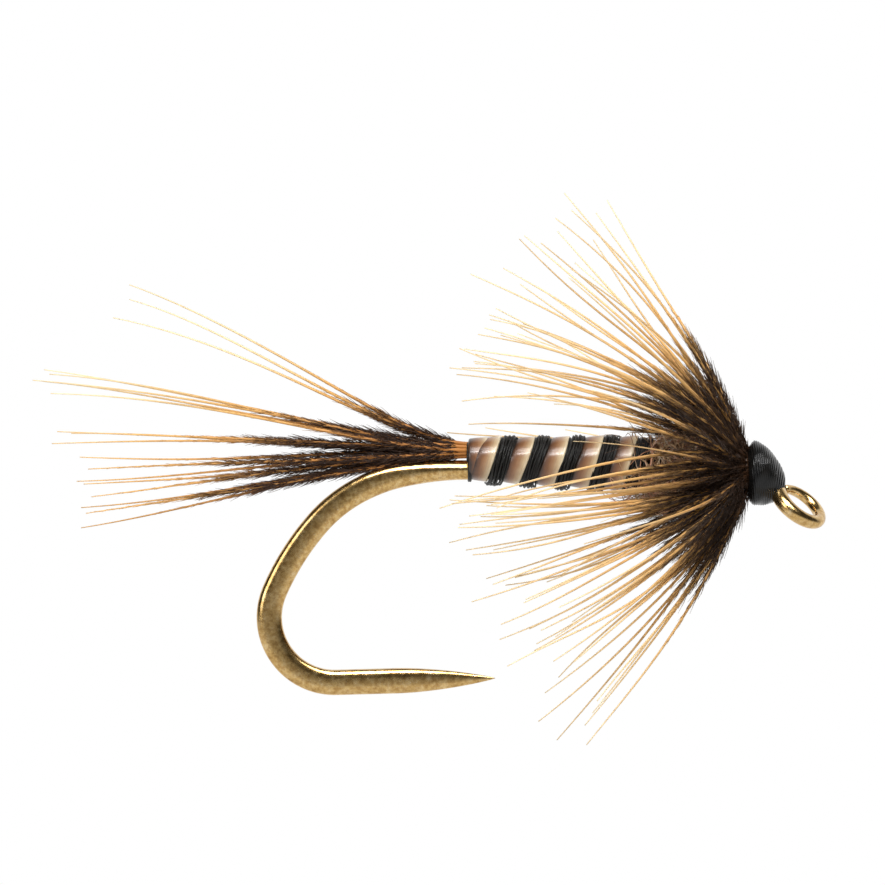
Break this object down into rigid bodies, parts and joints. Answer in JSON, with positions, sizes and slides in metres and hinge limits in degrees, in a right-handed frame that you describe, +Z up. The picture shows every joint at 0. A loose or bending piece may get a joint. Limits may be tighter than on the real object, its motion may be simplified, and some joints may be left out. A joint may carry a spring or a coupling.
{
  "type": "dry fishing fly",
  "caption": "Dry fly on a forged barbless hook with a down-turned eye, feather tail, banded quill body, fur thorax and a swept feather collar.",
  "frame": {"origin": "centre of the hook eye's bore", "axes": "+X along the hook shank from the bend toward the eye, +Z up from the hook point toward the shank, the hook's bend in the XZ plane"},
  "size_m": [0.0217, 0.0139, 0.0147],
  "materials": {
    "hook_wire": "bronze lacquer over forged steel wire",
    "black_thread": "waxed multifilament tying thread",
    "lacquered_head": "black thread under clear head lacquer",
    "stripped_quill": "stripped feather quill under thin varnish",
    "tail_feather": "amber feather barbs with dark down at the root",
    "collar_feather": "golden-brown feather barbs, darker at the stem",
    "dubbed_fur": "mixed grey-brown fur spun on thread",
    "guard_hair": "stiff brown and grey guard hairs"
  },
  "bodies": {
    "root": {"collar_barbs_turn_1_lower": "collar_feather", "collar_barbs_turn_1_upper": "collar_feather", "collar_barbs_turn_2_lower": "collar_feather", "collar_barbs_turn_2_upper": "collar_feather", "collar_barbs_turn_3_lower": "collar_feather", "collar_barbs_turn_3_upper": "collar_feather", "collar_stem": "collar_feather", "collar_thread_base": "black_thread", "head_thread": "lacquered_head", "head_whip_finish": "lacquered_head", "hook": "hook_wire", "quill_body": "stripped_quill", "rib_thread": "black_thread", "tail_barb_01": "tail_feather", "tail_barb_02": "tail_feather", "tail_barb_03": "tail_feather", "tail_barb_04": "tail_feather", "tail_barb_05": "tail_feather", "tail_barb_06": "tail_feather", "tail_barb_07": "tail_feather", "tail_barb_08": "tail_feather", "tail_barb_09": "tail_feather", "tail_barb_10": "tail_feather", "tail_barb_11": "tail_feather", "tail_barb_12": "tail_feather", "tail_barb_13": "tail_feather", "tail_barb_14": "tail_feather", "tail_barb_15": "tail_feather", "tail_barb_16": "tail_feather", "tail_barb_17": "tail_feather", "tail_barb_18": "tail_feather", "tail_barb_19": "tail_feather", "tail_tie_turns": "black_thread", "thorax_dubbing": "dubbed_fur", "thorax_guard_hairs": "guard_hair", "thread_underbody": "black_thread"}
  },
  "joints": []
}
